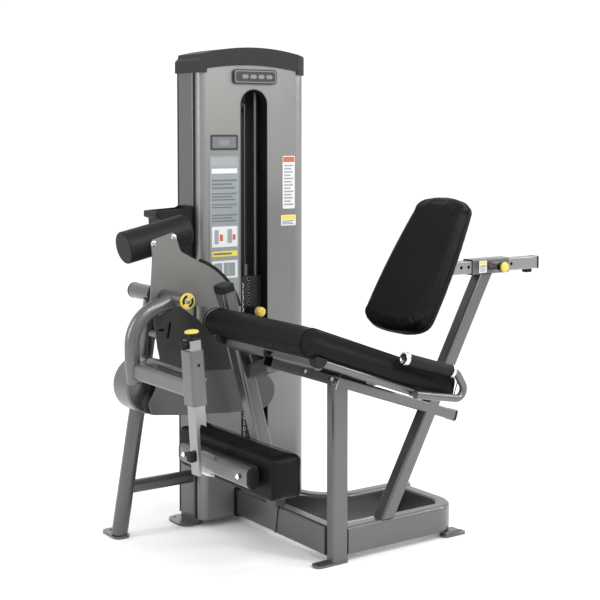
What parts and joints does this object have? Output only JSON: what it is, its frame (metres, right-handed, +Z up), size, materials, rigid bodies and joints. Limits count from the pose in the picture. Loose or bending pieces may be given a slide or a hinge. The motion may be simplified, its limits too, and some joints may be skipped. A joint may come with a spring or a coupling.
{
  "type": "leg extension machine",
  "caption": "Seated leg extension machine: padded seat, sliding back pad, pivoting shin pad arm with counterweight, and a hooded tower with a pin-selected weight stack.",
  "frame": {"origin": "centre of the footprint, on the floor", "axes": "+Z up; the user sits facing -Y; the weight tower stands on the -X side"},
  "size_m": [1.0894, 1.472, 1.707],
  "materials": {
    "frame_paint": "satin metallic grey powder coat",
    "shroud_paint": "satin silver-grey paint",
    "dark_paint": "satin charcoal paint",
    "guard_paint": "satin dark grey paint",
    "cap_plastic": "fine textured black moulding",
    "knob_plastic": "yellow moulded knob",
    "vinyl": "black coated vinyl",
    "foam_rubber": "black rubber",
    "bright_steel": "plated tube",
    "chrome": "polished chrome",
    "stack_steel": "black coated weight plate",
    "board": "black faced board",
    "belt_rubber": "flat reinforced belt"
  },
  "bodies": {
    "frame": {"accessory_tray": "cap_plastic", "axles": "bright_steel", "back_sleeve": "frame_paint", "base_cross_tube": "frame_paint", "base_far_tube": "frame_paint", "base_side_tube": "frame_paint", "belt_housing": "frame_paint", "diagonal_upright": "frame_paint", "drive_belt": "belt_rubber", "drum_cover": "frame_paint", "foot_plates": "frame_paint", "frame_bolts": "chrome", "front_beam": "dark_paint", "front_post": "frame_paint", "grip_collars": "chrome", "guard_plate": "guard_paint", "guide_rods": "chrome", "hand_grips": "foam_rubber", "knee_bolster": "vinyl", "pivot_stand": "frame_paint", "rear_post": "frame_paint", "rear_rail": "frame_paint", "resting_plates": "stack_steel", "seat_board": "board", "seat_cushion": "vinyl", "seat_frame": "frame_paint", "side_handles": "frame_paint", "slot_bezel": "cap_plastic", "stack_cushions": "foam_rubber", "tower_cap": "cap_plastic", "tower_frame": "frame_paint", "tower_shroud": "shroud_paint", "tube_caps": "cap_plastic"},
    "arm": {"arm_hub": "frame_paint", "arm_tube": "frame_paint", "arm_cross_tube": "frame_paint", "arm_sleeve": "frame_paint", "cam_plate": "frame_paint", "cam_strip": "belt_rubber", "cam_pulley": "dark_paint", "counterweight": "stack_steel", "hub_cap": "knob_plastic"},
    "shin_slide": {"shin_tube": "bright_steel", "shin_rubbers": "foam_rubber", "pad_saddle": "bright_steel", "pad_bar": "frame_paint", "shin_pad": "vinyl"},
    "latch": {"latch_knob": "knob_plastic"},
    "stack": {"lifted_plates": "stack_steel", "selector_rod": "bright_steel"},
    "stack_pin": {"weight_pin": "knob_plastic"},
    "top_wheel": {"top_pulley": "dark_paint"},
    "lower_wheel": {"lower_pulley": "dark_paint"},
    "rear_wheel": {"rear_pulley": "dark_paint"},
    "back_slide": {"back_tube": "bright_steel", "back_bracket": "dark_paint", "back_pad": "vinyl", "back_stops": "foam_rubber"},
    "back_lock": {"back_pin": "bright_steel", "back_knob": "knob_plastic"}
  },
  "joints": [
    {"name": "arm_pivot", "type": "hinge", "parent": "frame", "child": "arm", "pos_m": [-0.15175, -0.544, 0.858], "axis": [-1, 0, 0], "range_deg": [0, 100]},
    {"name": "shin_adjust", "type": "slide", "parent": "arm", "child": "shin_slide", "axis": [0, -0.0657, 0.9978], "range_m": [0, 0.1]},
    {"name": "latch_pull", "type": "slide", "parent": "shin_slide", "child": "latch", "axis": [0, -0.0657, 0.9978], "range_m": [0, 0.006], "stiffness_N_per_m": 1500, "springref_m": -0.004},
    {"name": "stack_lift", "type": "slide", "parent": "frame", "child": "stack", "axis": [0, 0, 1], "range_m": [0, 0.1]},
    {"name": "pin_pull", "type": "slide", "parent": "stack", "child": "stack_pin", "axis": [1, 0, 0], "range_m": [0, 0.12]},
    {"name": "top_pulley_spin", "type": "hinge", "parent": "frame", "child": "top_wheel", "pos_m": [-0.43605, -0.1075, 1.5], "axis": [0, 1, 0], "range_deg": [-240, 240]},
    {"name": "lower_pulley_spin", "type": "hinge", "parent": "frame", "child": "lower_wheel", "pos_m": [-0.23475, -0.554, 0.545], "axis": [1, 0, 0], "range_deg": [-140, 140]},
    {"name": "rear_pulley_spin", "type": "hinge", "parent": "frame", "child": "rear_wheel", "pos_m": [-0.23475, -0.174, 0.495], "axis": [1, 0, 0], "range_deg": [-160, 160]},
    {"name": "back_adjust", "type": "slide", "parent": "frame", "child": "back_slide", "axis": [0, 1, 0], "range_m": [-0.068, 0.068]},
    {"name": "back_lock_pull", "type": "slide", "parent": "frame", "child": "back_lock", "axis": [1, 0, 0], "range_m": [0, 0.008], "stiffness_N_per_m": 1500, "springref_m": -0.004}
  ],
  "couplings": [
    {"joint": "stack_lift", "follows": "arm_pivot", "m_per_rad": 0.057},
    {"joint": "lower_pulley_spin", "follows": "arm_pivot", "ratio": 1.1801},
    {"joint": "rear_pulley_spin", "follows": "arm_pivot", "ratio": 1.3801},
    {"joint": "top_pulley_spin", "follows": "arm_pivot", "ratio": 1.9454}
  ]
}
